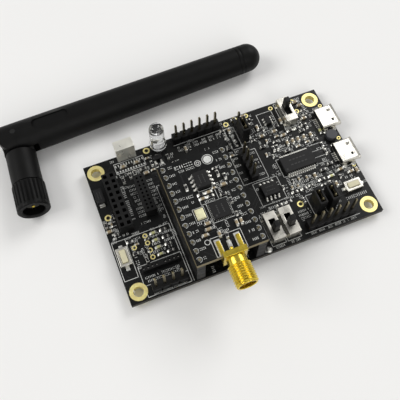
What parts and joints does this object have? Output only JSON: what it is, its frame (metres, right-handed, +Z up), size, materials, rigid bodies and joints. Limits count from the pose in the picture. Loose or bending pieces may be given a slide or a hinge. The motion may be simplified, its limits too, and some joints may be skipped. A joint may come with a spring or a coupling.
{
  "type": "radio receiver evaluation board",
  "caption": "Black two-board radio receiver kit: main board with ports, headers and switches, plug-in radio module with coaxial jack, and a loose hinged antenna.",
  "frame": {"origin": "centre of the four mounting holes, on the underside of the main board", "axes": "+X along the long edge towards the two ports, +Y to the edge with the infrared receiver and lamp, +Z up out of the component side"},
  "size_m": [0.1005, 0.0776, 0.0194],
  "materials": {
    "solder_mask": "glossy black solder mask",
    "plated_gold": "gold plated",
    "black_nylon": "moulded black nylon",
    "tinned_pin": "tin plated",
    "tinned_sheet": "tinned sheet",
    "port_steel": "nickel plated sheet",
    "dark_epoxy": "dark infrared epoxy",
    "clear_epoxy": "clear epoxy",
    "chip_epoxy": "moulded epoxy",
    "ferrite": "ferrite",
    "capacitor_ceramic": "ceramic with tinned ends",
    "resistor_glaze": "glazed with tinned ends",
    "lamp_resin": "pale resin",
    "crystal_lid": "plated lid",
    "jack_gold": "gold plated brass",
    "white_insulator": "white fluoropolymer",
    "cream_plunger": "cream nylon",
    "antenna_plastic": "satin black moulding",
    "pin_steel": "blackened steel"
  },
  "bodies": {
    "main_board_assembly": {"main_board": "solder_mask", "mounting_hole_rings": "plated_gold", "six_pin_header_strips": "black_nylon", "six_pin_header_pins": "plated_gold", "four_pin_header_strips": "black_nylon", "four_pin_header_pins": "plated_gold", "selector_strips": "black_nylon", "selector_pins": "plated_gold", "dual_socket_housing": "black_nylon", "dual_socket_contacts": "tinned_pin", "fine_socket_housings": "black_nylon", "fine_socket_contacts": "tinned_pin", "module_sockets": "black_nylon", "module_socket_contacts": "tinned_pin", "infrared_shield": "tinned_sheet", "infrared_receiver": "dark_epoxy", "clear_lamp": "clear_epoxy", "lamp_and_receiver_leads": "tinned_pin", "usb_shell_rear": "port_steel", "usb_shell_front": "port_steel", "usb_tongues": "black_nylon", "switch_housings": "port_steel", "switch_bases": "black_nylon", "button_frames": "port_steel", "bridge_chip": "chip_epoxy", "memory_chip": "chip_epoxy", "small_chips": "chip_epoxy", "chip_leads": "tinned_pin", "inductor": "ferrite", "chip_capacitors": "capacitor_ceramic", "chip_resistors": "resistor_glaze", "status_lamps": "lamp_resin"},
    "radio_module": {"module_board": "solder_mask", "module_pin_strips": "black_nylon", "module_pins": "plated_gold", "radio_chip": "chip_epoxy", "flash_chip": "chip_epoxy", "flash_chip_leads": "tinned_pin", "crystal": "crystal_lid", "module_chip_parts": "capacitor_ceramic", "antenna_jack": "jack_gold", "jack_contact": "jack_gold", "jack_insulator": "white_insulator"},
    "jumper_rear": {"jumper_cap_rear": "black_nylon"},
    "jumper_left": {"jumper_cap_left": "black_nylon"},
    "jumper_right": {"jumper_cap_right": "black_nylon"},
    "knob_left": {"switch_knob_left": "black_nylon"},
    "knob_right": {"switch_knob_right": "black_nylon"},
    "knob_power": {"switch_knob_power": "black_nylon"},
    "side_plunger": {"side_button_plunger": "cream_plunger"},
    "corner_plunger": {"corner_button_plunger": "cream_plunger"},
    "antenna_foot": {"antenna_base": "antenna_plastic", "antenna_ferrule": "jack_gold", "plug_insulator": "white_insulator", "plug_contact": "jack_gold"},
    "antenna_arm": {"antenna_whip": "antenna_plastic", "elbow_pin": "pin_steel", "antenna_radiator": "jack_gold"},
    "antenna_ring": {"antenna_nut": "antenna_plastic"}
  },
  "joints": [
    {"name": "module_lift", "type": "slide", "parent": "main_board_assembly", "child": "radio_module", "axis": [0, 0, 1], "range_m": [0, 0.03]},
    {"name": "jumper_rear_lift", "type": "slide", "parent": "main_board_assembly", "child": "jumper_rear", "axis": [0, 0, 1], "range_m": [0, 0.015]},
    {"name": "jumper_left_lift", "type": "slide", "parent": "main_board_assembly", "child": "jumper_left", "axis": [0, 0, 1], "range_m": [0, 0.015]},
    {"name": "jumper_right_lift", "type": "slide", "parent": "main_board_assembly", "child": "jumper_right", "axis": [0, 0, 1], "range_m": [0, 0.015]},
    {"name": "switch_left_slide", "type": "slide", "parent": "main_board_assembly", "child": "knob_left", "axis": [0, 1, 0], "range_m": [0, 0.002]},
    {"name": "switch_right_slide", "type": "slide", "parent": "main_board_assembly", "child": "knob_right", "axis": [0, 1, 0], "range_m": [0, 0.002]},
    {"name": "power_switch_slide", "type": "slide", "parent": "main_board_assembly", "child": "knob_power", "axis": [0, -1, 0], "range_m": [0, 0.002]},
    {"name": "side_button_press", "type": "slide", "parent": "main_board_assembly", "child": "side_plunger", "axis": [0, 0, -1], "range_m": [0, 0.00025], "stiffness_N_per_m": 1500},
    {"name": "corner_button_press", "type": "slide", "parent": "main_board_assembly", "child": "corner_plunger", "axis": [0, 0, -1], "range_m": [0, 0.00025], "stiffness_N_per_m": 1500},
    {"name": "antenna_lift", "type": "slide", "parent": "main_board_assembly", "child": "antenna_foot", "axis": [0, 0, 1], "range_m": [0, 0.03]},
    {"name": "antenna_elbow", "type": "hinge", "parent": "antenna_foot", "child": "antenna_arm", "pos_m": [-0.0545, 0.0383, 0.0038], "axis": [0, 0, 1], "range_deg": [-4.7, 85.3]},
    {"name": "antenna_nut_turn", "type": "hinge", "parent": "antenna_foot", "child": "antenna_ring", "pos_m": [-0.0545, 0.0383, 0.0038], "axis": [-0.0489, -0.9988, 0], "continuous": true}
  ]
}
